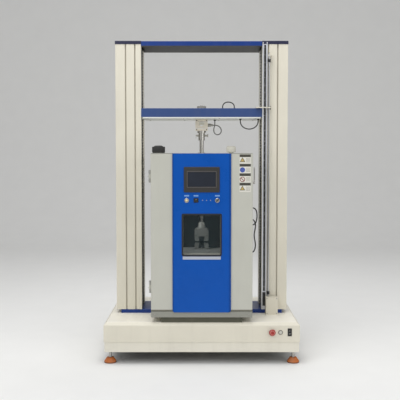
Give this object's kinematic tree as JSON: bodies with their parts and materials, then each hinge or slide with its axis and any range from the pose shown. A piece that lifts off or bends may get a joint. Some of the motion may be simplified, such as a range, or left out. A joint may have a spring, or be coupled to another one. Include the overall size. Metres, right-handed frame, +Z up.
{
  "type": "universal testing machine",
  "caption": "Floor-standing twin-column tensile testing machine with a moving crosshead, wedge grips and a thermal chamber with a windowed, hinged door.",
  "frame": {"origin": "on the floor midway between the columns, under the load axis", "axes": "+Z up along the load axis, +X right as seen from the front, +Y to the back"},
  "size_m": [1.256, 0.902, 2.092],
  "materials": {
    "cream_paint": "semi-gloss powder coat",
    "blue_paint": "satin paint",
    "grey_paint": "fine powder coat",
    "fascia_blue": "gloss paint",
    "navy_cap": "moulded",
    "dark_steel": "black enamel",
    "bare_frame": "primer",
    "steel": "ground",
    "hard_chrome": "polished",
    "stainless": "brushed stainless",
    "cream_cell": "anodised",
    "alloy": "anodised",
    "foot_rubber": "moulded",
    "black_rubber": "matte",
    "black_plastic": "moulded",
    "grey_plastic": "moulded",
    "red_plastic": "gloss",
    "pleat_cloth": "coated pleats",
    "wool": "mineral wool",
    "clear_glass": "clear",
    "motor_black": "satin",
    "bronze": "machined"
  },
  "bodies": {
    "frame": {"base_frame": "bare_frame", "base_cover": "cream_paint", "foot_pads": "foot_rubber", "foot_studs": "steel", "worktable": "blue_paint", "column_profiles": "cream_paint", "column_covers": "cream_paint", "column_caps": "navy_cap", "top_beam": "blue_paint", "guide_posts": "hard_chrome", "screw_bearings": "steel", "servo_motor": "motor_black", "drive_belt": "black_rubber", "drive_controller": "alloy", "lower_grip": "steel", "scale_channel": "alloy", "limit_switch_box": "cream_paint", "lower_bellows": "pleat_cloth", "upper_bellows": "pleat_cloth", "chamber_casing": "grey_paint", "door_jamb": "stainless", "chamber_liner": "stainless", "chamber_insulation": "wool", "air_guides": "stainless", "fan_motor": "motor_black", "chamber_plinth": "dark_steel", "chamber_cables": "black_rubber"},
    "crosshead": {"crosshead": "blue_paint", "crosshead_bearings": "bronze", "holding_nut": "steel", "load_cell": "cream_cell", "pin_coupling": "steel", "pull_rod": "hard_chrome", "upper_grip": "steel", "limit_arm": "alloy", "crosshead_cables": "black_rubber"},
    "left_screw": {"ball_screw_left": "steel"},
    "right_screw": {"ball_screw_right": "steel"},
    "motor_rotor": {"motor_pulley": "steel"},
    "upper_jaw_left": {"upper_jaw_left": "steel"},
    "upper_jaw_right": {"upper_jaw_right": "steel"},
    "lower_jaw_left": {"lower_jaw_left": "steel"},
    "lower_jaw_right": {"lower_jaw_right": "steel"},
    "limit_rod": {"limit_rod": "steel"},
    "fan": {"fan_wheel": "alloy"},
    "bung": {"cable_bung": "black_rubber"},
    "door": {"chamber_door": "grey_paint", "fascia": "fascia_blue", "window_glass": "clear_glass", "window_frame": "black_plastic", "window_sill": "stainless", "touch_panel": "grey_plastic", "control_bezels": "steel"},
    "door_button": {"door_button": "bronze"},
    "door_rocker": {"door_rocker": "black_plastic"},
    "door_selector": {"door_selector": "steel"},
    "door_latch": {"door_latch": "black_plastic"},
    "estop": {"estop_button": "red_plastic"},
    "run_button": {"run_button": "steel"},
    "mains_rocker": {"mains_rocker": "black_plastic"}
  },
  "joints": [
    {"name": "crosshead_travel", "type": "slide", "parent": "frame", "child": "crosshead", "axis": [0, 0, 1], "range_m": [-0.012, 0.28], "deforming": ["lower_bellows", "upper_bellows"]},
    {"name": "left_screw_turn", "type": "hinge", "parent": "frame", "child": "left_screw", "pos_m": [-0.452, -0.025, 0.3], "axis": [0, 0, 1], "range_deg": [-10281.6, 440.6]},
    {"name": "right_screw_turn", "type": "hinge", "parent": "frame", "child": "right_screw", "pos_m": [0.452, -0.025, 0.3], "axis": [0, 0, 1], "range_deg": [-10281.6, 440.6]},
    {"name": "motor_turn", "type": "hinge", "parent": "frame", "child": "motor_rotor", "pos_m": [0, 0.05, 0.2], "axis": [0, 0, 1], "range_deg": [-18506.9, 793.2]},
    {"name": "upper_jaw_right_slide", "type": "slide", "parent": "crosshead", "child": "upper_jaw_right", "axis": [0.2079, 0, 0.9781], "range_m": [0, 0.008]},
    {"name": "upper_jaw_left_slide", "type": "slide", "parent": "crosshead", "child": "upper_jaw_left", "axis": [-0.2079, 0, 0.9781], "range_m": [0, 0.008]},
    {"name": "lower_jaw_right_slide", "type": "slide", "parent": "frame", "child": "lower_jaw_right", "axis": [0.2079, 0, -0.9781], "range_m": [0, 0.008]},
    {"name": "lower_jaw_left_slide", "type": "slide", "parent": "frame", "child": "lower_jaw_left", "axis": [-0.2079, 0, -0.9781], "range_m": [0, 0.008]},
    {"name": "limit_rod_slide", "type": "slide", "parent": "frame", "child": "limit_rod", "axis": [0, 0, 1], "range_m": [-0.005, 0.005], "stiffness_N_per_m": 4000},
    {"name": "fan_spin", "type": "hinge", "parent": "frame", "child": "fan", "pos_m": [0, 0.08, 1.09], "axis": [0, -1, 0], "continuous": true},
    {"name": "bung_lift", "type": "slide", "parent": "frame", "child": "bung", "axis": [0, 0, 1], "range_m": [0, 0.06]},
    {"name": "door_swing", "type": "hinge", "parent": "frame", "child": "door", "pos_m": [-0.331, -0.372, 0.84], "axis": [0, 0, -1], "range_deg": [0, 110]},
    {"name": "door_button_press", "type": "slide", "parent": "door", "child": "door_button", "axis": [0, 1, 0], "range_m": [0, 0.003], "stiffness_N_per_m": 400},
    {"name": "door_rocker_tilt", "type": "hinge", "parent": "door", "child": "door_rocker", "pos_m": [-0.036, -0.446, 1.05], "axis": [1, 0, 0], "range_deg": [-8, 8]},
    {"name": "door_selector_turn", "type": "hinge", "parent": "door", "child": "door_selector", "pos_m": [0.098, -0.448, 1.05], "axis": [0, -1, 0], "range_deg": [-45, 45]},
    {"name": "door_latch_turn", "type": "hinge", "parent": "door", "child": "door_latch", "pos_m": [0.324, -0.405, 1.165], "axis": [1, 0, 0], "range_deg": [0, 90]},
    {"name": "estop_press", "type": "slide", "parent": "frame", "child": "estop", "axis": [0, 1, 0], "range_m": [0, 0.005], "stiffness_N_per_m": 800},
    {"name": "run_button_press", "type": "slide", "parent": "frame", "child": "run_button", "axis": [0, 1, 0], "range_m": [0, 0.003], "stiffness_N_per_m": 400},
    {"name": "mains_rocker_tilt", "type": "hinge", "parent": "frame", "child": "mains_rocker", "pos_m": [0.56, -0.438, 0.209], "axis": [1, 0, 0], "range_deg": [-8, 8]}
  ],
  "couplings": [
    {"joint": "left_screw_turn", "follows": "crosshead_travel", "rad_per_m": -628.32},
    {"joint": "right_screw_turn", "follows": "crosshead_travel", "rad_per_m": -628.32},
    {"joint": "motor_turn", "follows": "crosshead_travel", "rad_per_m": -1131},
    {"joint": "upper_jaw_left_slide", "follows": "upper_jaw_right_slide", "ratio": 1},
    {"joint": "lower_jaw_left_slide", "follows": "lower_jaw_right_slide", "ratio": 1}
  ]
}
